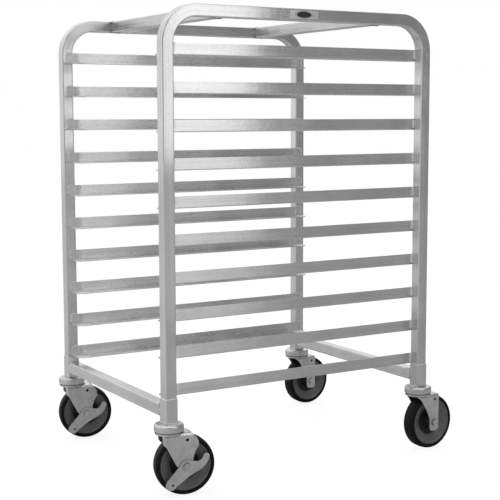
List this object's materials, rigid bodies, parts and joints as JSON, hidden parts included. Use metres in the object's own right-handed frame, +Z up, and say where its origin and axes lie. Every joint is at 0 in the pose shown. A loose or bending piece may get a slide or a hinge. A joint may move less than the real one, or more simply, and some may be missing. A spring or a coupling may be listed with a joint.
{
  "type": "sheet pan rack",
  "caption": "Open end-loading rack on swivel casters: two bent square-tube side frames, crossbars and paired angle runners that hold full-size sheet pans",
  "frame": {"origin": "on the floor, midway between the four posts; the point below the middle of the rack", "axes": "+Z up, +X to the right of a person loading pans, +Y from the open loading end towards the rear"},
  "size_m": [0.5845, 0.7671, 0.986],
  "materials": {
    "frame_aluminium": "satin mill-finish extruded aluminium with faint drawing lines",
    "caster_zinc": "bright zinc-plated pressed steel",
    "ball_steel": "polished bearing steel",
    "tyre_rubber": "black non-marking rubber, lightly dusted",
    "wheel_core_polymer": "dark grey moulded polymer with a lighter machined rim",
    "label_plate": "blank dark plate, no lettering"
  },
  "bodies": {
    "root": {"bottom_crossbar_front": "frame_aluminium", "bottom_crossbar_rear": "frame_aluminium", "caster_stems": "caster_zinc", "label_plate": "label_plate", "leg_sleeve_front_left": "frame_aluminium", "leg_sleeve_front_right": "frame_aluminium", "leg_sleeve_rear_left": "frame_aluminium", "leg_sleeve_rear_right": "frame_aluminium", "runner_left_01": "frame_aluminium", "runner_left_02": "frame_aluminium", "runner_left_03": "frame_aluminium", "runner_left_04": "frame_aluminium", "runner_left_05": "frame_aluminium", "runner_left_06": "frame_aluminium", "runner_left_07": "frame_aluminium", "runner_left_08": "frame_aluminium", "runner_left_09": "frame_aluminium", "runner_left_10": "frame_aluminium", "runner_right_01": "frame_aluminium", "runner_right_02": "frame_aluminium", "runner_right_03": "frame_aluminium", "runner_right_04": "frame_aluminium", "runner_right_05": "frame_aluminium", "runner_right_06": "frame_aluminium", "runner_right_07": "frame_aluminium", "runner_right_08": "frame_aluminium", "runner_right_09": "frame_aluminium", "runner_right_10": "frame_aluminium", "side_frame_left": "frame_aluminium", "side_frame_right": "frame_aluminium", "swivel_balls": "ball_steel", "top_crossbar_front": "frame_aluminium", "top_crossbar_rear": "frame_aluminium", "top_race_front_left": "caster_zinc", "top_race_front_right": "caster_zinc", "top_race_rear_left": "caster_zinc", "top_race_rear_right": "caster_zinc"},
    "caster_front_left": {"fork_front_left": "caster_zinc", "axle_bush_front_left": "caster_zinc", "axle_hardware_front_left": "caster_zinc"},
    "wheel_front_left": {"wheel_core_front_left": "wheel_core_polymer", "tyre_front_left": "tyre_rubber"},
    "brake_front_left": {"brake_lever_front_left": "caster_zinc"},
    "caster_front_right": {"fork_front_right": "caster_zinc", "axle_bush_front_right": "caster_zinc", "axle_hardware_front_right": "caster_zinc"},
    "wheel_front_right": {"wheel_core_front_right": "wheel_core_polymer", "tyre_front_right": "tyre_rubber"},
    "brake_front_right": {"brake_lever_front_right": "caster_zinc"},
    "caster_rear_right": {"fork_rear_right": "caster_zinc", "axle_bush_rear_right": "caster_zinc", "axle_hardware_rear_right": "caster_zinc"},
    "wheel_rear_right": {"wheel_core_rear_right": "wheel_core_polymer", "tyre_rear_right": "tyre_rubber"},
    "caster_rear_left": {"fork_rear_left": "caster_zinc", "axle_bush_rear_left": "caster_zinc", "axle_hardware_rear_left": "caster_zinc"},
    "wheel_rear_left": {"wheel_core_rear_left": "wheel_core_polymer", "tyre_rear_left": "tyre_rubber"}
  },
  "joints": [
    {"name": "swivel_front_left", "type": "hinge", "parent": "root", "child": "caster_front_left", "pos_m": [-0.254, -0.32067, 0.149], "axis": [0, 0, 1], "continuous": true},
    {"name": "roll_front_left", "type": "hinge", "parent": "caster_front_left", "child": "wheel_front_left", "pos_m": [-0.24714, -0.29096, 0.0625], "axis": [0.9744, -0.225, 0], "continuous": true},
    {"name": "brake_front_left", "type": "hinge", "parent": "caster_front_left", "child": "brake_front_left", "pos_m": [-0.24714, -0.29096, 0.0625], "axis": [0.9744, -0.225, 0], "range_deg": [-50, 0]},
    {"name": "swivel_front_right", "type": "hinge", "parent": "root", "child": "caster_front_right", "pos_m": [0.254, -0.32067, 0.149], "axis": [0, 0, 1], "continuous": true},
    {"name": "roll_front_right", "type": "hinge", "parent": "caster_front_right", "child": "wheel_front_right", "pos_m": [0.26086, -0.29096, 0.0625], "axis": [0.9744, -0.225, 0], "continuous": true},
    {"name": "brake_front_right", "type": "hinge", "parent": "caster_front_right", "child": "brake_front_right", "pos_m": [0.26086, -0.29096, 0.0625], "axis": [0.9744, -0.225, 0], "range_deg": [-50, 0]},
    {"name": "swivel_rear_right", "type": "hinge", "parent": "root", "child": "caster_rear_right", "pos_m": [0.254, 0.32067, 0.149], "axis": [0, 0, 1], "continuous": true},
    {"name": "roll_rear_right", "type": "hinge", "parent": "caster_rear_right", "child": "wheel_rear_right", "pos_m": [0.25214, 0.35112, 0.0625], "axis": [0.9981, 0.061, 0], "continuous": true},
    {"name": "swivel_rear_left", "type": "hinge", "parent": "root", "child": "caster_rear_left", "pos_m": [-0.254, 0.32067, 0.149], "axis": [0, 0, 1], "continuous": true},
    {"name": "roll_rear_left", "type": "hinge", "parent": "caster_rear_left", "child": "wheel_rear_left", "pos_m": [-0.25586, 0.35112, 0.0625], "axis": [0.9981, 0.061, 0], "continuous": true}
  ]
}
